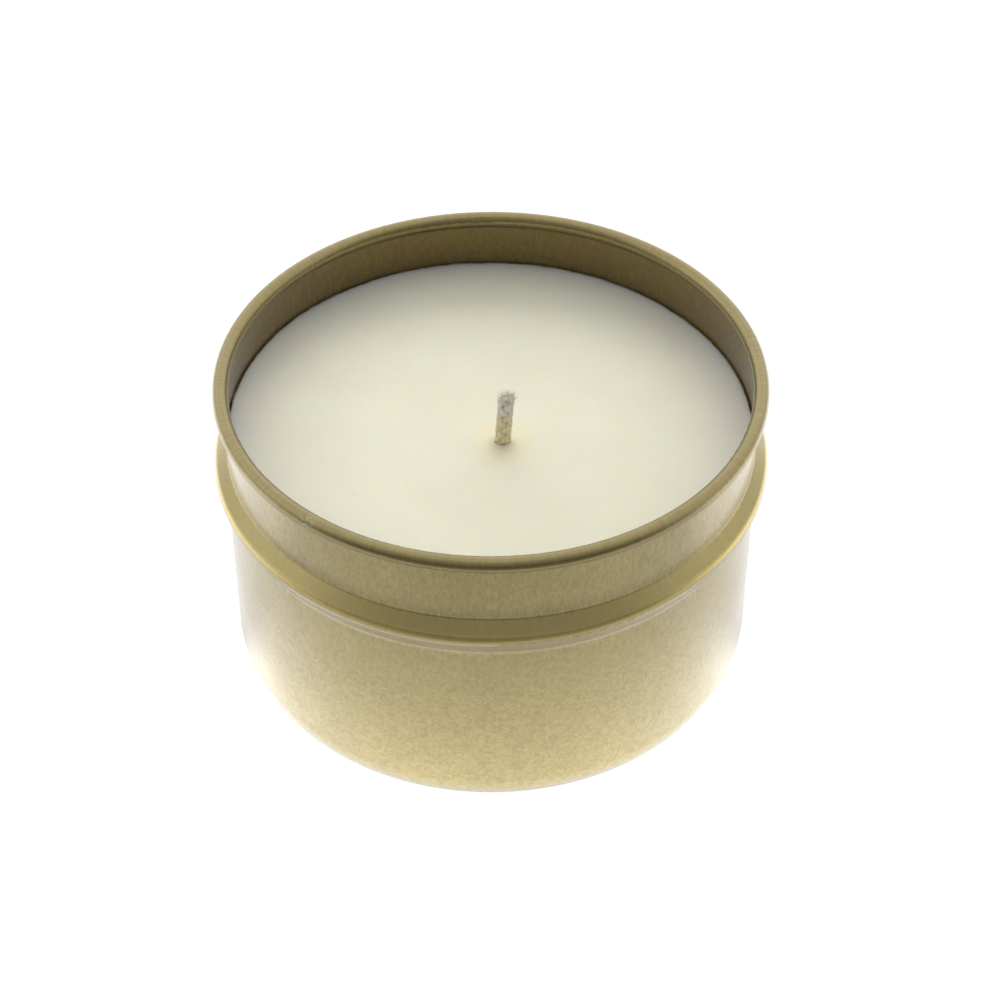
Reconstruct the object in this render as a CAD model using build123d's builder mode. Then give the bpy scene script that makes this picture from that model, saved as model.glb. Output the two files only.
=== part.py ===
from build123d import *
from math import cos, radians, sin, tan
import os

# An open candle tin, standing on its base with its axis on Z and the origin at the centre of
# the base: a tin drawn from one sheet, the wax poured into it, and a cored cotton wick that is
# crimped in a sustainer and held to the floor of the tin by an adhesive pad. Millimetres.

# ---- Driving dimensions: the tin ----
sheet = 0.25                    # thickness of the tinplate
tin_height = 50.0               # base to the top of the rolled rim
body_diameter = 78.2            # outside of the straight wall below the bead
rim_reach = 0.9                 # how far the rolled rim stands out from the body
neck_inset = 0.45               # how far the straight neck stands in from the body
bead_reach = 1.9                # how far the corner of the bead stands out, before it is rounded
base_round = 5.5                # outside radius between the body and the base

curl_section = 2.3              # height and width of the rolled rim
curl_turn = 255.0               # degrees that the rim is rolled through
throat_rise = 0.6               # height over which the neck closes in to the rolled rim
throat_round = 0.8

neck_depth = 11.7               # top of the rim to the crease above the bead
bead_shoulder = 2.2             # height from the crease down to the corner of the bead
bead_tuck = 3.7                 # height from the corner of the bead down to its foot
crease_round = 0.4
bead_round = 1.4
foot_round = 1.6

ring_width = 2.1                # flat ring that the tin stands on
panel_rise = 0.9                # height of the panel inside it
panel_step = 1.0                # width of the sloping step between them
step_round = 0.6

# ---- Driving dimensions: the wax ----
wax_headspace = 9.2             # top of the rim to the wax
wax_gap = 0.1                   # shrinkage gap between the wax and what it was poured around
wax_edge_round = 0.35           # rounding of the wax along the wall

# ---- Driving dimensions: the wick and what holds it ----
pad_diameter = 20.0             # adhesive pad
pad_thickness = 0.8
tab_diameter = 20.0             # disc of the sustainer
tab_sheet = 0.3
tab_neck_height = 6.0           # underside of the disc to the top of the crimped neck
tab_neck_round = 0.6            # fillet between the disc and the neck
wick_width = 2.46
wick_depth = 2.0
core_width = 1.2
core_depth = 0.8
wick_fit = 0.02                 # clearance of the core in the braid, and of the braid in the neck
wick_foot_x = -0.3              # where the sustainer stands on the floor of the tin
wick_foot_y = -2.5
wick_lean = 5.3                 # degrees that the wick leans off upright above the neck
wick_bearing = -46.5            # degrees from +X to the side it leans to
wick_bend = 40.0                # radius of the bend where it leaves the neck
wick_exposed = 8.5              # height of the wick above the wax

# ---- Derived places ----
mid_sheet = sheet / 2
body_radius = body_diameter / 2
rim_radius = body_radius + rim_reach
neck_radius = body_radius - neck_inset
bead_radius = body_radius + bead_reach
ring_radius = body_radius - base_round - ring_width
panel_radius = ring_radius - panel_step

curl_centre_radius = rim_radius - curl_section / 2
curl_centre_height = tin_height - curl_section / 2
curl_mid_radius = curl_section / 2 - mid_sheet
throat_radius = curl_centre_radius - curl_mid_radius
throat_bottom = curl_centre_height - curl_mid_radius

crease_height = tin_height - neck_depth
corner_height = crease_height - bead_shoulder
foot_height = corner_height - bead_tuck

floor_height = panel_rise + sheet
wax_top = tin_height - wax_headspace
tab_bottom = floor_height + pad_thickness
tab_neck_top = tab_bottom + tab_neck_height
wick_top = wax_top + wick_exposed
wick_corner = tab_neck_top + wick_bend * tan(radians(wick_lean / 2))
wick_reach = (wick_top - wick_corner) * tan(radians(wick_lean))
wick_top_x = wick_foot_x + wick_reach * cos(radians(wick_bearing))
wick_top_y = wick_foot_y + wick_reach * sin(radians(wick_bearing))

# Corners of the middle of the sheet, from the axis of the tin out along its base and up to the
# rolled rim, and the radius of each corner between the first point and the last.
sheet_corners = [
    (0, panel_rise + mid_sheet),
    (panel_radius, panel_rise + mid_sheet),
    (ring_radius, mid_sheet),
    (body_radius - mid_sheet, mid_sheet),
    (body_radius - mid_sheet, foot_height),
    (bead_radius - mid_sheet, corner_height),
    (neck_radius - mid_sheet, crease_height),
    (neck_radius - mid_sheet, throat_bottom),
    (throat_radius, throat_bottom + throat_rise),
    (throat_radius, curl_centre_height),
]
sheet_rounds = [
    step_round,
    step_round,
    base_round - mid_sheet,
    foot_round,
    bead_round,
    crease_round,
    throat_round,
    throat_round,
]
neck_end = 8                    # corners from the axis to the top of the straight neck


# The wick runs upright through the neck of the sustainer and leans once it is out of it.
def wick_route():
    with BuildLine() as route:
        FilletPolyline(
            (wick_foot_x, wick_foot_y, tab_bottom),
            (wick_foot_x, wick_foot_y, wick_corner),
            (wick_top_x, wick_top_y, wick_top),
            radius=wick_bend,
        )
    return route.line


# An oval the size of the wick, or larger all round by a margin.
def wick_oval(margin=0.0):
    return Ellipse(wick_width / 2 + margin, wick_depth / 2 + margin)


# ---- The tin: one sheet, drawn, beaded and rolled outwards at the rim ----
with BuildPart() as tin_body:
    with BuildSketch(Plane.XZ):
        with BuildLine():
            wall = FilletPolyline(sheet_corners, radius=sheet_rounds)
            JernArc(wall @ 1, wall % 1, radius=curl_mid_radius, arc_size=-curl_turn)
        trace(line_width=sheet)
    revolve(axis=Axis.Z)

# ---- The adhesive pad between the floor of the tin and the sustainer ----
with BuildPart() as wick_pad:
    with BuildSketch(Plane.XY.offset(floor_height)):
        with Locations((wick_foot_x, wick_foot_y)):
            Circle(pad_diameter / 2)
    extrude(amount=pad_thickness)

# ---- The sustainer: a disc drawn up into a neck that is crimped on the wick ----
with BuildPart() as wick_sustainer:
    with BuildSketch(Plane.XY.offset(tab_bottom)):
        with Locations((wick_foot_x, wick_foot_y)):
            Circle(tab_diameter / 2)
    extrude(amount=tab_sheet)
    with BuildSketch(Plane.XY.offset(tab_bottom)):
        with Locations((wick_foot_x, wick_foot_y)):
            wick_oval(wick_fit + tab_sheet)
    extrude(amount=tab_neck_height)
    disc_top = wick_sustainer.faces().filter_by(Axis.Z).sort_by(Axis.Z)[-2]
    neck_root = disc_top.inner_wires()[0].edges()
    fillet(neck_root, radius=tab_neck_round)
    with BuildSketch(Plane.XY.offset(tab_bottom)):
        with Locations((wick_foot_x, wick_foot_y)):
            wick_oval(wick_fit)
    extrude(amount=tab_neck_height, mode=Mode.SUBTRACT)

# ---- The wick: a braid around a core ----
with BuildPart() as wick_braid:
    with BuildSketch(Plane.XY.offset(tab_bottom)):
        with Locations((wick_foot_x, wick_foot_y)):
            wick_oval()
            Ellipse(core_width / 2 + wick_fit, core_depth / 2 + wick_fit, mode=Mode.SUBTRACT)
    sweep(path=wick_route())

with BuildPart() as wick_core:
    with BuildSketch(Plane.XY.offset(tab_bottom)):
        with Locations((wick_foot_x, wick_foot_y)):
            Ellipse(core_width / 2, core_depth / 2)
    sweep(path=wick_route())

# ---- The wax: it fills the tin around the pad, the sustainer and the wick ----
with BuildPart() as wax_fill:
    with BuildSketch(Plane.XZ):
        with BuildLine():
            inside = FilletPolyline(sheet_corners[:neck_end], radius=sheet_rounds[: neck_end - 2])
            Polyline(inside @ 1, (0, throat_bottom), inside @ 0)
        make_face()
        mirror(about=Plane.YZ)
        offset(amount=-(mid_sheet + wax_gap))
        with Locations((0, wax_top)):
            Rectangle(bead_radius, wax_top, align=(Align.MIN, Align.MAX), mode=Mode.INTERSECT)
        with Locations((0, floor_height)):
            Rectangle(panel_radius - step_round, 2 * wax_gap, align=Align.MIN)
    revolve(axis=Axis.Z)
    fillet(wax_fill.faces().sort_by(Axis.Z)[-1].edges(), radius=wax_edge_round)
    with BuildSketch(Plane.XY.offset(floor_height)):
        with Locations((wick_foot_x, wick_foot_y)):
            Circle(pad_diameter / 2 + wax_gap)
    extrude(amount=pad_thickness, mode=Mode.SUBTRACT)
    with BuildSketch(Plane.XY.offset(tab_bottom)):
        with Locations((wick_foot_x, wick_foot_y)):
            Circle(tab_diameter / 2 + wax_gap)
    extrude(amount=tab_sheet + wax_gap, mode=Mode.SUBTRACT)
    with BuildSketch(Plane.XY.offset(tab_bottom)):
        with Locations((wick_foot_x, wick_foot_y)):
            wick_oval(wick_fit + tab_sheet + tab_neck_round + wax_gap)
    extrude(amount=tab_sheet + tab_neck_round + wax_gap, mode=Mode.SUBTRACT)
    with BuildSketch(Plane.XY.offset(tab_bottom)):
        with Locations((wick_foot_x, wick_foot_y)):
            wick_oval(wick_fit + tab_sheet + wax_gap)
    extrude(amount=tab_neck_height + wax_gap, mode=Mode.SUBTRACT)
    with BuildSketch(Plane.XY.offset(tab_bottom)):
        with Locations((wick_foot_x, wick_foot_y)):
            wick_oval(wax_gap)
    sweep(path=wick_route(), mode=Mode.SUBTRACT)

pieces = {
    "tin_body": tin_body,
    "wax_fill": wax_fill,
    "wick_braid": wick_braid,
    "wick_core": wick_core,
    "wick_sustainer": wick_sustainer,
    "wick_pad": wick_pad,
}
os.makedirs("parts", exist_ok=True)
for name, piece in pieces.items():
    piece.part.label = name
    export_step(piece.part, f"parts/{name}.step")
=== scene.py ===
"""The looks of the candle tin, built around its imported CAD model. Lengths are in metres."""

import math
import random

import bmesh
import bpy
import numpy as np
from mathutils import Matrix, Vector, noise


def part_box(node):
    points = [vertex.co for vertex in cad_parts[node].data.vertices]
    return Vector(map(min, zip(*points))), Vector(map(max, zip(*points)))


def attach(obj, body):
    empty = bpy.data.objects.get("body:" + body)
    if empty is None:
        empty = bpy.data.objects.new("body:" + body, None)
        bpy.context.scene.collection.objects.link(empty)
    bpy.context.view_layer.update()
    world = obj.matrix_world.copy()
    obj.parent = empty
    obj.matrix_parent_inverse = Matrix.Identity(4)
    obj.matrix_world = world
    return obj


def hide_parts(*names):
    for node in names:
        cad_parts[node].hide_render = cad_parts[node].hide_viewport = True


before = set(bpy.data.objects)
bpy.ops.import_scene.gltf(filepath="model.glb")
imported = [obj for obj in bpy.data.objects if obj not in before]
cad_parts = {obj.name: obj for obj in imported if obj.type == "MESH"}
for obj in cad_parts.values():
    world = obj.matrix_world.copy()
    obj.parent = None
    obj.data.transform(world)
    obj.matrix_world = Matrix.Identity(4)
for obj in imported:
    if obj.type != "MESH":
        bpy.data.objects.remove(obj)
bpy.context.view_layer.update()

MM = 0.001
TAU = 2 * math.pi
RNG = random.Random(20)

# ---- Places read from the CAD model ----


def crossings(node, height):
    """Points (x, y) where a CAD node's edges pass through a height."""
    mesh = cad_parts[node].data
    co = np.zeros(len(mesh.vertices) * 3)
    mesh.vertices.foreach_get("co", co)
    co = co.reshape(-1, 3)
    ends = np.zeros(len(mesh.edges) * 2, int)
    mesh.edges.foreach_get("vertices", ends)
    low, high = co[ends[0::2]], co[ends[1::2]]
    across = (low[:, 2] - height) * (high[:, 2] - height) < 0
    low, high = low[across], high[across]
    share = (height - low[:, 2]) / (high[:, 2] - low[:, 2])
    return (low + (high - low) * share[:, None])[:, :2]


def section_box(node, height):
    """Centre (x, y) and half widths of a CAD node's section at a height."""
    points = crossings(node, height)
    low, high = points.min(0), points.max(0)
    return (low + high) / 2, (high - low) / 2


def radii(node, height):
    """Smallest and largest distance from the tin's axis of a CAD node's section at a height."""
    reach = np.hypot(*crossings(node, height).T)
    return reach.min(), reach.max()


_, TIN_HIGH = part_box("tin_body")
WAX_LOW, WAX_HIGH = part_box("wax_fill")
PAD_LOW, PAD_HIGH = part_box("wick_pad")
TAB_LOW, TAB_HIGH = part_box("wick_sustainer")
WICK_LOW, WICK_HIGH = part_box("wick_braid")
TIN_HEIGHT = TIN_HIGH.z
TIN_RADIUS = TIN_HIGH.x                               # at the bead, where the tin is widest
WAX_TOP = WAX_HIGH.z
WAX_RADIUS = radii("wax_fill", WAX_TOP - 1 * MM)[1]   # just below the round of its edge
BODY_RADIUS = radii("tin_body", 20 * MM)[1]           # outside of the wall below the bead
WALL_MIDDLE = sum(radii("tin_body", WAX_TOP + 2 * MM)) / 2    # halfway through the sheet of the neck

# Height of the bead, to the nearest millimetre, and a height just above the crease over its shoulder.
BEAD_HEIGHT = max((radii("tin_body", h * MM)[1], h * MM) for h in range(30, 42))[1]
SHOULDER_TOP = BEAD_HEIGHT + 2.5 * MM

# ---- Mesh building ----


def strip_mesh(name, loops, join_ends=False, cap_ends=False):
    """A smooth mesh through closed loops of points, all with the same number of points."""
    count = len(loops[0])
    points = np.concatenate([np.asarray(loop, float) for loop in loops])
    rows = len(loops)
    faces = []
    for row in range(rows if join_ends else rows - 1):
        a, b = row * count, (row + 1) % rows * count
        for k in range(count):
            n = (k + 1) % count
            faces.append((a + k, a + n, b + n, b + k))
    if cap_ends:
        faces.append(tuple(range(count))[::-1])
        faces.append(tuple(range((rows - 1) * count, rows * count)))
    mesh = bpy.data.meshes.new(name)
    mesh.from_pydata(points.tolist(), [], faces)
    mesh.shade_smooth()
    mesh.update()
    return mesh


def piece(name, mesh, material, replaces=()):
    """A visible piece of the candle, on its only body."""
    obj = bpy.data.objects.new(name, mesh)
    bpy.context.scene.collection.objects.link(obj)
    mesh.materials.append(material)
    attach(obj, "root")
    if replaces:
        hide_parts(*replaces)


def join_meshes(name, meshes):
    """One smooth mesh out of several, which it removes."""
    points, faces, start = [], [], 0
    for mesh in meshes:
        points += [v.co[:] for v in mesh.vertices]
        faces += [tuple(start + i for i in p.vertices) for p in mesh.polygons]
        start += len(mesh.vertices)
        bpy.data.meshes.remove(mesh)
    joined = bpy.data.meshes.new(name)
    joined.from_pydata(points, [], faces)
    joined.shade_smooth()
    joined.update()
    return joined


# ---- Material building ----


class Nodes:
    """A node tree being built."""

    def __init__(self, tree):
        self.tree = tree
        self.tree.nodes.clear()
        self.coordinates = self.node("ShaderNodeTexCoord")

    def node(self, kind, inputs=(), **settings):
        """Adds a node. inputs maps socket names or numbers to values or to other nodes' outputs."""
        made = self.tree.nodes.new(kind)
        for key, value in settings.items():
            setattr(made, key, value)
        for key, value in dict(inputs).items():
            if isinstance(value, bpy.types.NodeSocket):
                self.tree.links.new(value, made.inputs[key])
            else:
                made.inputs[key].default_value = value
        return made

    def math(self, operation, *values):
        return self.node("ShaderNodeMath", dict(enumerate(values)), operation=operation).outputs[0]

    def vector(self, operation, *values):
        made = self.node("ShaderNodeVectorMath", dict(enumerate(values)), operation=operation)
        return made.outputs["Value" if operation == "LENGTH" else "Vector"]

    def split(self, vector):
        return self.node("ShaderNodeSeparateXYZ", {0: vector}).outputs

    def combine(self, *values):
        return self.node("ShaderNodeCombineXYZ", dict(enumerate(values))).outputs[0]

    def noise(self, vector, scale, detail=2.0, rough=0.5, warp=0.0):
        inputs = {"Vector": vector, "Scale": scale, "Detail": detail, "Roughness": rough, "Distortion": warp}
        return self.node("ShaderNodeTexNoise", inputs).outputs["Fac"]

    def ramp(self, value, low, high, to_low=0.0, to_high=1.0):
        """A number that goes smoothly from to_low to to_high while value goes from low to high."""
        inputs = {"Value": value, 1: low, 2: high, 3: to_low, 4: to_high}
        return self.node("ShaderNodeMapRange", inputs, interpolation_type="SMOOTHSTEP").outputs[0]

    def blend(self, share, first, second):
        """A number between two numbers."""
        return self.node("ShaderNodeMix", {0: share, 2: first, 3: second}).outputs[0]

    def mix(self, share, first, second, how="MIX"):
        """A colour between two colours, which are sockets or (red, green, blue)."""
        colours = [c if isinstance(c, bpy.types.NodeSocket) else (*c, 1.0) for c in (first, second)]
        inputs = {0: share, 6: colours[0], 7: colours[1]}
        return self.node("ShaderNodeMix", inputs, data_type="RGBA", blend_type=how).outputs[2]

    def bump(self, height, distance, strength):
        inputs = {"Height": height, "Distance": distance, "Strength": strength}
        return self.node("ShaderNodeBump", inputs).outputs[0]


class Shader(Nodes):
    """A node material being built."""

    def __init__(self, name):
        self.material = bpy.data.materials.new(name)
        self.material.use_nodes = True
        super().__init__(self.material.node_tree)
        self.place = self.coordinates.outputs["Object"]

    def finish(self, **inputs):
        """Ends in one Principled shader. Underscores in the names stand for spaces."""
        named = {key.replace("_", " "): value for key, value in inputs.items()}
        shader = self.node("ShaderNodeBsdfPrincipled", named)
        self.node("ShaderNodeOutputMaterial", {0: shader.outputs[0]})
        return self.material


# ---- Materials ----

# Colours of the lacquer, each from its darker to its lighter grain.
LACQUER_OUTSIDE = (0.26, 0.205, 0.070), (0.35, 0.28, 0.108)
LACQUER_INSIDE = (0.19, 0.135, 0.036), (0.25, 0.18, 0.052)
SHOULDER_PAINTED_LIGHT = (1.28, 1.28, 1.24)      # painted light: brighter on the bead's shoulder and along its crest
CREST_PAINTED_LIGHT = (1.5, 1.5, 1.4)
PAINTED_SHADE_TINT = (0.52, 0.49, 0.34)     # painted shade: darker and duller below the bead and the rolled rim
SCUFF_COLOUR = (0.60, 0.54, 0.38)
PANEL_SHEET = 1.1 * MM                  # a height within the sheet of the base: above it is the inside
# Small rubbed marks: bearing in degrees from +X, height and size.
HANDLING_MARKS = (-128, 49.6 * MM, 2.2 * MM), (-160, 43.5 * MM, 1.6 * MM)


def lacquered_tinplate():
    """Satin gold lacquer on drawn tinplate: orange peel, drawing streaks and a few handling marks, with
    painted light on the bead and painted shade below the bead and the rolled rim.
    """
    s = Shader("lacquered_tinplate")
    height = s.split(s.place)[2]
    reach = s.vector("LENGTH", s.vector("MULTIPLY", s.place, (1, 1, 0)))
    shade = lacquer_grain(s, height)
    grain = s.ramp(shade, 0.3, 0.7)

    inner = s.math("LESS_THAN", reach, WALL_MIDDLE)
    above_base = s.math("GREATER_THAN", height, PANEL_SHEET)
    below_curl = s.ramp(height, TIN_HEIGHT - 1.6 * MM, TIN_HEIGHT - 2.2 * MM)
    inside = s.math("MULTIPLY", s.math("MULTIPLY", inner, above_base), below_curl)
    colour = s.mix(inside, s.mix(grain, *LACQUER_OUTSIDE), s.mix(grain, *LACQUER_INSIDE))

    outer = s.math("GREATER_THAN", reach, BODY_RADIUS)
    # Painted light: the bead's shoulder and its crest are made brighter in colour.
    above_bead = s.ramp(height, BEAD_HEIGHT - 0.6 * MM, BEAD_HEIGHT)
    below_neck = s.ramp(height, SHOULDER_TOP + 0.7 * MM, SHOULDER_TOP + 0.2 * MM)
    shoulder = s.math("MULTIPLY", above_bead, below_neck)
    colour = s.mix(shoulder, colour, SHOULDER_PAINTED_LIGHT, "MULTIPLY")
    crest = s.math("MULTIPLY", band(s, height, BEAD_HEIGHT + 0.5 * MM, 0.5 * MM), outer)
    colour = s.mix(crest, colour, CREST_PAINTED_LIGHT, "MULTIPLY")
    # Painted shade: darker bands below the bead and under the rolled rim, where the tin is shaded.
    below_bead = band(s, height, BEAD_HEIGHT - 2.1 * MM, 2.4 * MM)
    below_rim = band(s, height, TIN_HEIGHT - 1.9 * MM, 1.0 * MM)
    painted_shade = s.math("MULTIPLY", s.math("MAXIMUM", below_bead, below_rim), outer)
    colour = s.mix(painted_shade, colour, PAINTED_SHADE_TINT, "MULTIPLY")

    marks = s.math("ADD", *[scuff(s, *mark) for mark in HANDLING_MARKS])
    colour = s.mix(s.math("MULTIPLY", marks, 0.5), colour, SCUFF_COLOUR)
    rough = s.ramp(s.noise(s.place, 90.0, 3.0, 0.55), 0.3, 0.7, 0.36, 0.43)
    return s.finish(
        Base_Color=colour,
        Metallic=1.0,
        Roughness=s.math("ADD", rough, s.math("MULTIPLY", marks, 0.15)),
        Normal=s.bump(shade, 0.06 * MM, 0.6),
        # Less coat where the shade is painted, which dulls the sheen there too.
        Coat_Weight=s.ramp(painted_shade, 0.0, 1.0, 1.0, 0.2),
        Coat_Roughness=0.22,
        Coat_IOR=1.5,
    )


def lacquer_grain(s, height):
    """Orange peel low on the body and upright streaks above it, calmer on the bead and on the rim."""
    around = s.vector("SCALE", s.vector("NORMALIZE", s.vector("MULTIPLY", s.place, (1, 1, 0))))
    around.node.inputs["Scale"].default_value = TIN_RADIUS
    stretched = s.vector("ADD", around, s.combine(0.0, 0.0, s.math("MULTIPLY", height, 0.4)))
    peel = s.noise(s.place, 1300.0, 2.0, 0.55, 1.2)
    streaks = s.noise(stretched, 2100.0, 3.0, 0.6, 0.8)
    grain = s.blend(s.ramp(height, 20 * MM, 34 * MM), peel, streaks)

    on_bead = s.ramp(height, BEAD_HEIGHT - 0.5 * MM, BEAD_HEIGHT)
    on_bead = s.math("MULTIPLY", on_bead, s.ramp(height, SHOULDER_TOP, SHOULDER_TOP - 0.5 * MM))
    on_rim = s.ramp(height, TIN_HEIGHT - 2.6 * MM, TIN_HEIGHT - 2.0 * MM, 0.0, 0.7)
    contrast = s.blend(s.math("MAXIMUM", on_bead, on_rim), 1.0, 0.3)
    return s.math("MULTIPLY_ADD", s.math("SUBTRACT", grain, 0.5), contrast, 0.5)


def band(s, height, middle, reach):
    """Share of a soft band around the tin: one at its middle height, none at its reach above and below."""
    return s.ramp(s.math("ABSOLUTE", s.math("SUBTRACT", height, middle)), reach, reach * 0.3)


def scuff(s, bearing, height, size):
    """Share of a small rubbed mark on the outside of the tin."""
    angle = math.radians(bearing)
    centre = (TIN_RADIUS * math.cos(angle), TIN_RADIUS * math.sin(angle), height)
    reach = s.vector("LENGTH", s.vector("SUBTRACT", s.place, centre))
    broken = s.ramp(s.noise(s.place, 2600.0, 2.0, 0.6), 0.48, 0.60)
    return s.math("MULTIPLY", s.ramp(reach, size, size * 0.4), broken)


# Colours of the wax: its clouds from darker to paler, and what tints it, painted shade among them.
WAX_CLOUDS = (0.73, 0.715, 0.57), (0.77, 0.755, 0.61)
WAX_HALO = (0.80, 0.70, 0.45)           # around the wick
WAX_SPECKS = (0.55, 0.47, 0.32)
WAX_WALL_SHADE = (0.72, 0.70, 0.64)           # painted shade: greyer near the wall, which shades the wax
WAX_EDGE_SHADE = (0.30, 0.22, 0.11)        # painted shade: a dark brown line along the very edge, at the gap by the wall
HALO_START, HALO_END = 1.2 * MM, 6.5 * MM
WALL_SHADE_WIDTH = 10 * MM


def candle_wax():
    """Cream container wax, slightly translucent, warmer around the wick, with painted shade near the wall
    and a painted dark line along its edge.
    """
    s = Shader("candle_wax")
    centre, _ = section_box("wick_braid", WAX_TOP)
    to_wick = s.vector("MULTIPLY", s.vector("SUBTRACT", s.place, (*centre, WAX_TOP)), (1, 1, 0.4))
    from_axis = s.vector("LENGTH", s.vector("MULTIPLY", s.place, (1, 1, 0)))
    clouds = s.noise(s.place, 45.0, 4.0, 0.55)
    fine = s.noise(s.place, 700.0, 3.0, 0.6)

    halo = s.ramp(s.vector("LENGTH", to_wick), HALO_START, HALO_END, 1.0, 0.0)
    specks = s.ramp(s.noise(s.place, 1500.0, 0.0), 0.81, 0.85)
    # Painted shade: the wax is greyed towards the wall, which shades it.
    pale = s.ramp(from_axis, WAX_EDGE - WALL_SHADE_WIDTH, WAX_EDGE)
    # Painted shade: a dark line along the very edge of the wax, where it meets the wall.
    edge_shade = s.ramp(from_axis, WAX_EDGE - 0.3 * MM, WAX_EDGE - 0.1 * MM)
    colour = s.mix(s.ramp(clouds, 0.3, 0.7), *WAX_CLOUDS)
    tints = [
        (halo, 0.55, WAX_HALO),
        (specks, 0.25, WAX_SPECKS),
        (pale, 0.8, WAX_WALL_SHADE),
        (edge_shade, 0.6, WAX_EDGE_SHADE),
    ]
    for share, strength, tint in tints:
        colour = s.mix(s.math("MULTIPLY", share, strength), colour, tint)
    return s.finish(
        Base_Color=colour,
        Roughness=s.ramp(fine, 0.3, 0.7, 0.40, 0.52),
        Normal=s.bump(s.math("ADD", s.math("MULTIPLY", fine, 0.3), clouds), 0.04 * MM, 0.5),
        IOR=1.44,
        Subsurface_Weight=1.0,
        Subsurface_Radius=(1.0, 0.85, 0.6),
        Subsurface_Scale=3.5 * MM,
        Subsurface_Anisotropy=0.3,
    )


# Colours of the wick, each dry and then soaked with wax.
YARN_COLOURS = (0.98, 0.94, 0.81), (0.95, 0.82, 0.54)
CORE_COLOURS = (0.80, 0.76, 0.66), (0.66, 0.56, 0.38)
YARN_CREVICE_SHADE = (0.45, 0.34, 0.18)      # painted shade between the fibres
SOAK_HEIGHT = WICK_HIGH.z - 2.6 * MM    # the wick is soaked up to about here
SOAK_WANDER = 3.2 * MM


def cotton(name, dry, soaked):
    """Cotton, dry and pale at the cut end of the wick, soaked with wax and darker further down."""
    s = Shader(name)
    height = s.split(s.place)[2]
    wander = s.math("MULTIPLY", s.noise(s.place, 1100.0, 3.0), SOAK_WANDER)
    wet = s.ramp(s.math("ADD", height, wander), SOAK_HEIGHT + 0.3 * MM, SOAK_HEIGHT + 2.4 * MM, 1.0, 0.0)
    fibres = s.noise(s.vector("MULTIPLY", s.place, (1, 1, 0.25)), 9000.0, 3.0, 0.6)
    colour = s.mix(wet, dry, soaked)
    # Painted shade between the fibres.
    colour = s.mix(s.ramp(fibres, 0.3, 0.75, 0.0, 0.25), colour, YARN_CREVICE_SHADE, "MULTIPLY")
    return s.finish(
        Base_Color=colour,
        Roughness=s.ramp(wet, 0.0, 1.0, 0.9, 0.45),
        Normal=s.bump(fibres, 0.03 * MM, 0.8),
        Sheen_Weight=0.3,
        Sheen_Roughness=0.5,
        Subsurface_Weight=0.5,
        Subsurface_Radius=(1.0, 0.8, 0.5),
        Subsurface_Scale=0.6 * MM,
    )


def bright_tinplate():
    """Plain tinplate of the sustainer, with stamping marks."""
    s = Shader("bright_tinplate")
    grain = s.noise(s.vector("MULTIPLY", s.place, (1, 0.08, 1)), 4000.0, 3.0)
    stains = s.noise(s.place, 350.0, 3.0)
    return s.finish(
        Base_Color=s.mix(s.ramp(stains, 0.35, 0.7), (0.62, 0.62, 0.60), (0.72, 0.71, 0.68)),
        Metallic=1.0,
        Roughness=s.ramp(grain, 0.3, 0.7, 0.28, 0.42),
        Normal=s.bump(grain, 0.01 * MM, 0.5),
    )


def adhesive_foam():
    """Closed-cell foam of the adhesive pad."""
    s = Shader("adhesive_foam")
    cells = s.node("ShaderNodeTexVoronoi", {"Vector": s.place, "Scale": 4500.0}).outputs["Distance"]
    return s.finish(
        Base_Color=s.mix(s.ramp(cells, 0.0, 0.7), (0.74, 0.74, 0.71), (0.88, 0.88, 0.86)),
        Roughness=0.85,
        Normal=s.bump(cells, 0.05 * MM, 0.7),
    )


# ---- Camera ----
VIEW_ELEVATION = math.radians(42.35)
VIEW_DISTANCE = 0.36
AIM = Vector((1.3 * MM, 0.0, TIN_HEIGHT / 2))
LENS = 86.07

camera = bpy.data.objects.new("camera", bpy.data.cameras.new("camera"))
bpy.context.scene.collection.objects.link(camera)
camera.data.lens = LENS
camera.data.sensor_width = 36.0
camera.data.clip_start = 0.01
camera.location = AIM + VIEW_DISTANCE * Vector((0, -math.cos(VIEW_ELEVATION), math.sin(VIEW_ELEVATION)))
camera.rotation_euler = (AIM - camera.location).to_track_quat("-Z", "Y").to_euler()
bpy.context.scene.camera = camera
bpy.context.scene.view_settings.view_transform = "Standard"

# ---- Studio ----
BACKDROP_SIZE = 1.5
FLOOR_NEAR = 2.4                 # glow of the floor in front, at the foot of the tin
FLOOR_FAR = 0.85                 # and far from it
FLOOR_FADE = 16 * MM             # distance over which it fades
FLOOR_BACK_NEAR = 1.15           # glow of the floor behind the tin, close to it
FLOOR_BACK_FAR = 1.5             # and farther off
FLOOR_BACK_REACH = 20 * MM, 34 * MM     # distances from the tin between which the first turns to the second
FLOOR_TURN = -0.38, -0.05        # sine of the bearing between which the front's glow turns to the back's
FLOOR_EDGE = 0.2                 # share of the glow left beyond the front edge of the table
FLOOR_EDGE_Y = -0.13, -0.08      # Y where it has fallen to that share, and where it starts to fall
FLOOR_UNDER_TIN = 0.05           # share of the glow left under the tin
HORIZON_LIGHT = 0.7              # light from the back and the sides, at the horizon
BACK_LIGHT = 1.3                 # from the back, above the horizon
LEFT_LIGHT = 1.25                # from the left, above the horizon
RIGHT_LIGHT = 1.0                # from the right, above the horizon
HIGH_LIGHT = 1.0                 # from overhead
FRONT_LIGHT = 0.15               # from the camera's side, low down
FRONT_HIGH_LIGHT = 0.45          # and higher up
CARD_LIGHT = 5.0                 # soft card behind the tin, which lights only matt surfaces
CARD_ELEVATION = math.radians(28)
CARD_DISTANCE = 0.5
CARD_HALF = (0.42, 0.11)


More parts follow.
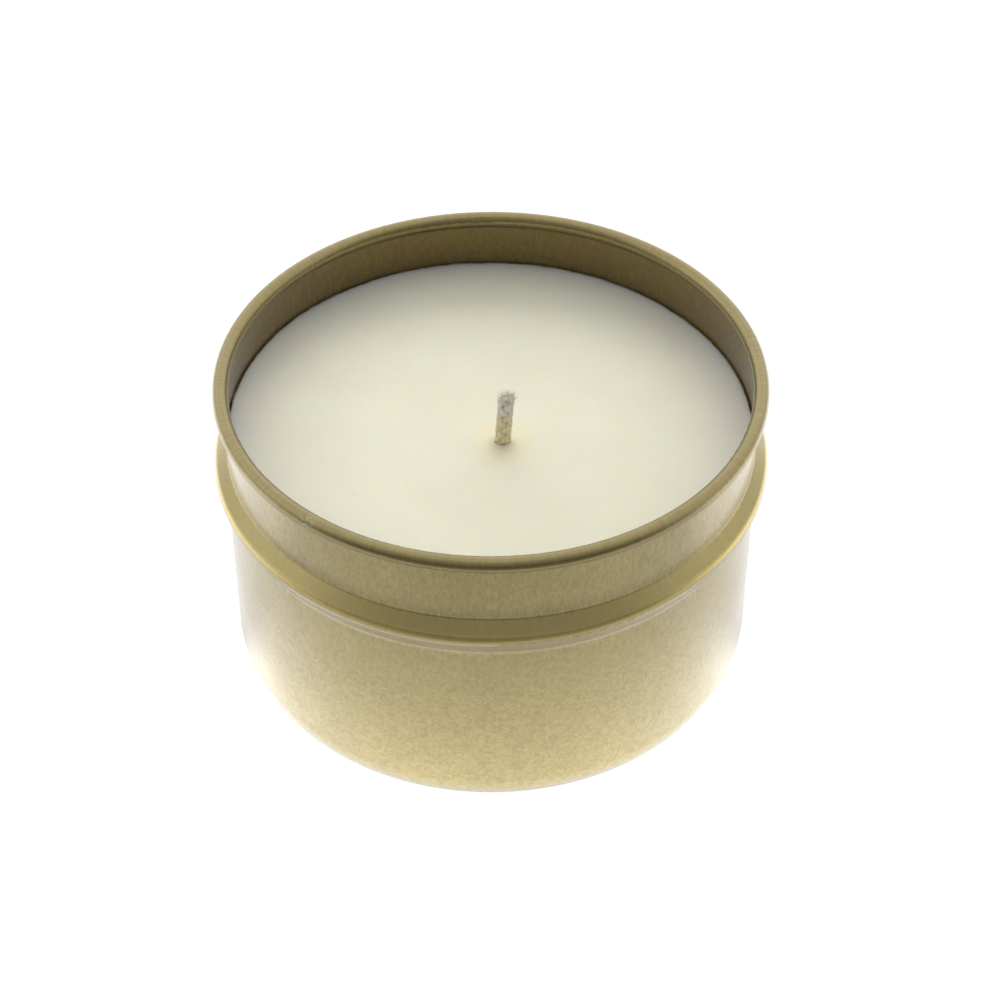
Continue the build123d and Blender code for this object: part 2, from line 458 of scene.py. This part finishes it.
def stage_object(mesh, material, seen):
    """A piece of the studio that is either only seen, or only lights the tin."""
    mesh.materials.append(material)
    obj = bpy.data.objects.new(mesh.name, mesh)
    bpy.context.scene.collection.objects.link(obj)
    obj.visible_camera = seen
    obj.visible_diffuse = not seen
    obj.visible_glossy = not seen
    obj.visible_transmission = not seen
    obj.visible_shadow = False
    return obj


def glow_paper(s, strength):
    """Ends a shader as a surface that only glows."""
    return s.finish(Base_Color=(0, 0, 0, 1), Emission_Color=(1, 1, 1, 1), Emission_Strength=strength)


def light_table():
    """A floor that glows most at the front of the tin's foot, and is dark under the tin."""
    s = Shader("light_table")
    level = s.vector("MULTIPLY", s.place, (1, 1, 0))
    reach = s.vector("LENGTH", level)
    fade = s.math("EXPONENT", s.math("DIVIDE", s.math("SUBTRACT", TIN_RADIUS, reach), FLOOR_FADE))
    before = s.math("MULTIPLY_ADD", fade, FLOOR_NEAR - FLOOR_FAR, FLOOR_FAR)
    near, far = (TIN_RADIUS + distance for distance in FLOOR_BACK_REACH)
    behind = s.ramp(reach, near, far, FLOOR_BACK_NEAR, FLOOR_BACK_FAR)
    bearing = s.split(s.vector("NORMALIZE", level))[1]
    glow = s.blend(s.ramp(bearing, *FLOOR_TURN), before, behind)

    edge = s.ramp(s.split(s.place)[1], *FLOOR_EDGE_Y, FLOOR_EDGE, 1.0)
    shade = s.ramp(reach, TIN_RADIUS - 8 * MM, TIN_RADIUS + 3 * MM, FLOOR_UNDER_TIN, 1.0)
    return glow_paper(s, s.math("MULTIPLY", s.math("MULTIPLY", glow, edge), shade))


def flat_mesh(name, corners):
    """One face with four corners."""
    mesh = bpy.data.meshes.new(name)
    mesh.from_pydata(corners, [], [(0, 1, 2, 3)])
    return mesh


def card_mesh():
    """A rectangle behind the tin that faces it."""
    out = Vector((0, math.cos(CARD_ELEVATION), math.sin(CARD_ELEVATION)))
    up = Vector((0, -math.sin(CARD_ELEVATION), math.cos(CARD_ELEVATION)))
    middle = Vector((0, 0, WAX_TOP)) + out * CARD_DISTANCE
    corners = []
    for x, z in ((-1, -1), (-1, 1), (1, 1), (1, -1)):
        corners.append((middle + Vector((x * CARD_HALF[0], 0, 0)) + up * (z * CARD_HALF[1]))[:])
    return flat_mesh("card", corners)


def surround():
    """Light from all round: bright from the back and the sides, weak from the front.

    Its ramps run over the X and Y of a direction's bearing, and over the Z of the direction.
    """
    world = bpy.data.worlds.new("surround")
    world.use_nodes = True
    w = Nodes(world.node_tree)
    way = w.coordinates.outputs["Generated"]
    level = w.split(w.vector("NORMALIZE", w.vector("MULTIPLY", way, (1, 1, 0))))
    rise = w.split(way)[2]
    sides = w.blend(w.ramp(level[0], -0.3, 0.3), LEFT_LIGHT, RIGHT_LIGHT)
    low = w.blend(w.ramp(level[1], 0.85, 0.5), BACK_LIGHT, sides)
    above = w.blend(w.ramp(rise, 0.14, 0.31), HORIZON_LIGHT, low)
    around = w.blend(w.ramp(rise, 0.55, 0.86), above, HIGH_LIGHT)
    front = w.math("MULTIPLY", w.ramp(level[1], -0.1, -0.6), w.ramp(rise, 1.0, 0.85))
    strength = w.blend(front, around, w.ramp(rise, 0.2, 0.6, FRONT_LIGHT, FRONT_HIGH_LIGHT))
    background = w.node("ShaderNodeBackground", {"Color": (1, 1, 1, 1), "Strength": strength})
    w.node("ShaderNodeOutputWorld", {0: background.outputs[0]})
    return world


def studio():
    """A white floor and backdrop to be seen, a glowing floor and a card to light the tin, and the world."""
    white = glow_paper(Shader("white_paper"), 1.0)
    half = BACKDROP_SIZE
    square = [(-half, -half, 0), (half, -half, 0), (half, half, 0), (-half, half, 0)]
    stage_object(flat_mesh("floor", square), white, True)
    stage_object(flat_mesh("table", square), light_table(), False)
    card = stage_object(card_mesh(), glow_paper(Shader("card_paper"), CARD_LIGHT), False)
    card.visible_glossy = False

    dome = bmesh.new()
    bmesh.ops.create_icosphere(dome, subdivisions=4, radius=half)
    mesh = bpy.data.meshes.new("backdrop")
    dome.to_mesh(mesh)
    dome.free()
    stage_object(mesh, white, True)
    bpy.context.scene.world = surround()


# ---- Wax ----
WAX_SEGMENTS = 768
WAX_TILT = 0.010                 # slope of the wax, which set slightly out of level
EDGE_GAP = 0.11 * MM             # how far the wax shrank back from the wall at its top
WAX_EDGE = WAX_RADIUS - EDGE_GAP
WALL_LIP = 0.12 * MM             # how far the wax stands up along the wall
WALL_LIP_WIDTH = 0.5 * MM
WICK_LIP = 0.12 * MM             # and the wick
WICK_LIP_WIDTH = 0.5 * MM
SWELL = 0.10 * MM                # slow unevenness of the surface
CAVITY_GAP = 0.10 * MM           # room around the pad, the sustainer and the wick
DISC_ROOM = 0.4 * MM             # height of the hollow for the sustainer's disc
FILLET_ROOM = 1.0 * MM           # room around the foot of the sustainer's neck
NEAR = 0.02 * MM                 # how near the wax is read to a height where its section ends


def oval(centre, half, height, grow=0.0):
    """A closed loop of points on an oval, larger all round by grow."""
    a = np.arange(WAX_SEGMENTS) * TAU / WAX_SEGMENTS
    x = centre[0] + (half[0] + grow) * np.cos(a)
    y = centre[1] + (half[1] + grow) * np.sin(a)
    return np.stack([x, y, np.full(WAX_SEGMENTS, height)], 1)


def circle(radius, height, centre=(0, 0)):
    """A closed loop of points on a circle."""
    return oval(centre, (radius, radius), height)


def ripple(x, y, scale, seed):
    """Smooth noise over (x, y), about -1 to 1."""
    return noise.noise(Vector((x / scale, y / scale, seed)))


def wax_heights(points, from_wick, from_wall):
    """Heights of the top of the wax at points, given their distances from the wick and the wall."""
    spots = points[:, :2]
    swell = np.array([ripple(x, y, 16 * MM, 3.1) + 0.5 * ripple(x, y, 6 * MM, 8.7) for x, y in spots])
    ragged = np.array([ripple(x, y, 1.8 * MM, 5.5) + 0.7 * ripple(x, y, 0.6 * MM, 1.5) for x, y in spots])
    lip = WALL_LIP * np.exp(-from_wall / WALL_LIP_WIDTH) * (1 + 0.9 * ragged)
    climb = WICK_LIP * np.exp(-from_wick / WICK_LIP_WIDTH) * (1 + 0.4 * ragged)
    return WAX_TOP - WAX_TILT * points[:, 0] + SWELL * swell + lip + climb


def wax_edge_loop():
    """The edge of the top of the wax, at an uneven distance from the wall."""
    ways = circle(1.0, 0)[:, :2]
    wobble = np.array([ripple(x, y, 0.08, 2.2) + 0.6 * ripple(x, y, 0.022, 4.4) for x, y in ways])
    chips = np.array([ripple(x, y, 0.03, 6.1) for x, y in ways])
    loop = circle(WAX_RADIUS, WAX_TOP)
    loop[:, :2] -= ways * (EDGE_GAP * (1 + 0.7 * wobble + 0.5 * chips))[:, None]
    return loop


def wax_top_loops():
    """The top of the wax, from the wick out to its edge, with closer loops near both."""
    centre, half = section_box("wick_braid", WAX_TOP)
    inner = oval(centre, half, WAX_TOP, grow=CAVITY_GAP / 2)
    outer = wax_edge_loop()
    span = np.hypot(*(outer - inner)[:, :2].T)
    shares = np.concatenate([
        np.linspace(0, 0.06, 14)[:-1],
        np.linspace(0.06, 0.94, 62)[:-1],
        1 - np.geomspace(0.06, 0.0025, 18),
        [1.0],
    ])
    loops = []
    for share in shares:
        loop = inner + (outer - inner) * share
        loop[:, 2] = wax_heights(loop, span * share, span * (1 - share))
        loops.append(loop)
    return loops


def wax_wall_loops(edge):
    """From the edge straight down, then down the wall and under the wax, as in the CAD wax."""
    loops = []
    for drop in (0.06 * MM, 0.25 * MM):
        loop = edge.copy()
        loop[:, 2] -= drop
        loops.append(loop)
    low, floor = WAX_LOW.z, PAD_LOW.z
    for height in np.linspace(WAX_TOP - 1.2 * MM, low + NEAR, 120):
        loops.append(circle(radii("wax_fill", height)[1], height))
    loops.append(circle(radii("wax_fill", low + NEAR)[0], low))
    for height in np.linspace(low + NEAR, floor - NEAR, 8)[1:]:
        loops.append(circle(radii("wax_fill", height)[0], height))
    return loops


def wax_hollow_loops():
    """The hollow in the wax: around the pad, over the sustainer, up its neck and up the wick."""
    foot = ((PAD_LOW + PAD_HIGH) / 2)[:2]
    pad_radius = (PAD_HIGH.x - PAD_LOW.x) / 2 + CAVITY_GAP
    shelf = TAB_LOW.z + DISC_ROOM
    loops = [
        circle(pad_radius + 8 * MM, PAD_LOW.z, foot),
        circle(pad_radius, PAD_LOW.z, foot),
        circle(pad_radius, shelf, foot),
    ]
    centre, half = section_box("wick_sustainer", TAB_HIGH.z - 0.5 * MM)
    loops.append(oval(centre, half, shelf + 0.1 * MM, grow=FILLET_ROOM))
    loops.append(oval(centre, half, shelf + 0.9 * MM, grow=CAVITY_GAP))
    loops.append(oval(centre, half, TAB_HIGH.z + CAVITY_GAP, grow=CAVITY_GAP))
    for height in np.linspace(TAB_HIGH.z + 0.2 * MM, WAX_TOP - 0.5 * MM, 30):
        centre, half = section_box("wick_braid", height)
        loops.append(oval(centre, half, height, grow=CAVITY_GAP / 2))
    return loops


def wax_mesh():
    """The whole wax, closed through the hollow around the wick."""
    top = wax_top_loops()
    return strip_mesh("wax", top + wax_wall_loops(top[-1]) + wax_hollow_loops(), join_ends=True)


# ---- Wick ----
STRANDS = 8
STRAND_SIDES = 12
STRAND_START = 0.35              # bearing in radians of the first strand, at the foot of the wick
BRAID_PITCH = 8.8 * MM           # length of one turn of a strand
STRAND_DEPTH = 0.44 * MM
STRAND_WIDTH = 1.02 * MM
WEAVE = 0.13 * MM                # how far a strand rises over and dips under the others
WEAVE_LENGTH = BRAID_PITCH / 4   # length of one rise and dip
FUZZ = 0.10                      # share by which a strand's section varies along it
FUZZ_LENGTH = 0.7 * MM
FIBRES = 520                     # loose fibres at the trimmed end
FIBRE_SIDES = 5
FIBRE_STEPS = 5                  # pieces along a fibre
CUT_HEIGHT = 49.2 * MM           # the wick is trimmed on a slant, higher towards +X
CUT_RISE = 0.35 * MM             # by so much at its side
CUT_TWIST = 0.25 * MM            # and by more at the back than at the front


def wick_line(start, end, step):
    """Heights, centres and half widths up the wick, carried on a little past the ends of the CAD wick."""
    rows = []
    for height in np.arange(start, end, step):
        clipped = min(max(height, WICK_LOW.z + 0.05 * MM), WICK_HIGH.z - 0.3 * MM)
        centre, half = section_box("wick_braid", clipped)
        rows.append((height, centre, half))
    return rows


def cut_height(x, y, tip, tip_half):
    """Height of the trimmed end of the wick, whose centre and half widths are tip and tip_half."""
    across, back = (x - tip[0]) / tip_half[0], (y - tip[1]) / tip_half[1]
    return CUT_HEIGHT + (CUT_RISE + CUT_TWIST * back) * across


def strand_mesh(index, line, tip, tip_half):
    """One strand of the braid, from the foot of the wick to the slanted cut."""
    turn = 1 if index % 2 == 0 else -1
    first = (index // 2) * TAU / (STRANDS / 2) + STRAND_START
    inset = STRAND_DEPTH / 2 + WEAVE
    loops = []
    for height, centre, half in line:
        run = height - line[0][0]
        angle = first + turn * TAU * run / BRAID_PITCH
        over = turn * WEAVE * math.cos(TAU * run / WEAVE_LENGTH)
        a, b = half[0] - inset + over, half[1] - inset + over
        middle = Vector((centre[0] + a * math.cos(angle), centre[1] + b * math.sin(angle), height))
        out = Vector((math.cos(angle) / half[0], math.sin(angle) / half[1], 0)).normalized()
        round_axis = Vector((-a * math.sin(angle), b * math.cos(angle), 0)) * turn * TAU / BRAID_PITCH
        along = (round_axis + Vector((0, 0, 1))).normalized()
        across = along.cross(out).normalized()
        loop = []
        for k in range(STRAND_SIDES):
            t = TAU * k / STRAND_SIDES
            fuzz = 1 + FUZZ * noise.noise(Vector((k * 1.7 + index * 9, run / FUZZ_LENGTH, 2.0)))
            spot = middle + across * (STRAND_WIDTH / 2 * math.cos(t) * fuzz)
            spot += out * (STRAND_DEPTH / 2 * math.sin(t) * fuzz)
            spot.z = min(spot.z, cut_height(spot.x, spot.y, tip, tip_half))
            loop.append(spot[:])
        loops.append(loop)
    return strip_mesh(f"strand{index}", loops, cap_ends=True)


def fibre_mesh(path, radius):
    """A thin tapering tube along points."""
    loops = []
    last = len(path) - 1
    for i, point in enumerate(path):
        ahead = (path[min(i + 1, last)] - path[max(i - 1, 0)]).normalized()
        side = ahead.orthogonal().normalized()
        other = ahead.cross(side)
        size = radius * (1 - 0.6 * i / last)
        loop = []
        for k in range(FIBRE_SIDES):
            t = TAU * k / FIBRE_SIDES
            loop.append((point + side * (size * math.cos(t)) + other * (size * math.sin(t)))[:])
        loops.append(loop)
    return strip_mesh("fibre", loops, cap_ends=True)


def frayed_end(tip, tip_half):
    """Loose cotton fibres that stand out of the cut end of the wick, longest at the back."""
    meshes = []
    for _ in range(FIBRES):
        angle = RNG.uniform(0, TAU)
        out = math.sqrt(RNG.uniform(0.12, 1.0))
        x = tip[0] + 0.92 * tip_half[0] * out * math.cos(angle)
        y = tip[1] + 0.92 * tip_half[1] * out * math.sin(angle)
        start = Vector((x, y, cut_height(x, y, tip, tip_half) - RNG.uniform(0.0, 0.9) * MM))
        lean = Vector((math.cos(angle), math.sin(angle), 0)) * RNG.uniform(0.0, 0.35) * out
        way = (Vector((RNG.gauss(0, 0.3), RNG.gauss(0.1, 0.3), 1)) + lean).normalized()
        curl = Vector((RNG.gauss(0, 1), RNG.gauss(0.3, 1), RNG.gauss(0, 0.5))) * 0.4
        length = RNG.uniform(0.4, 1.0) * (1 + 0.4 * math.sin(angle)) * MM
        path = []
        for i in range(FIBRE_STEPS + 1):
            t = i / FIBRE_STEPS
            spot = start + (way + curl * t) * (length * t)
            spot.z = min(spot.z, TIN_HEIGHT - 0.1 * MM)
            path.append(spot)
        meshes.append(fibre_mesh(path, RNG.uniform(0.035, 0.065) * MM))
    return join_meshes("wick_fibres", meshes)


# ---- Putting it together ----
studio()

cad_materials = {
    "tin_body": lacquered_tinplate(),
    "wick_core": cotton("wick_paper", *CORE_COLOURS),
    "wick_sustainer": bright_tinplate(),
    "wick_pad": adhesive_foam(),
}
for node, material in cad_materials.items():
    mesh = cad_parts[node].data
    mesh.materials.clear()
    mesh.materials.append(material)

piece("wax", wax_mesh(), candle_wax(), ["wax_fill"])

yarn = cotton("cotton_yarn", *YARN_COLOURS)
tip, tip_half = section_box("wick_braid", WICK_HIGH.z - 0.5 * MM)
line = wick_line(WICK_LOW.z + 0.02 * MM, WICK_HIGH.z + 0.6 * MM, 0.2 * MM)
strands = [strand_mesh(index, line, tip, tip_half) for index in range(STRANDS)]
piece("wick_strands", join_meshes("wick_strands", strands), yarn, ["wick_braid"])
piece("wick_fibres", frayed_end(tip, tip_half), yarn)
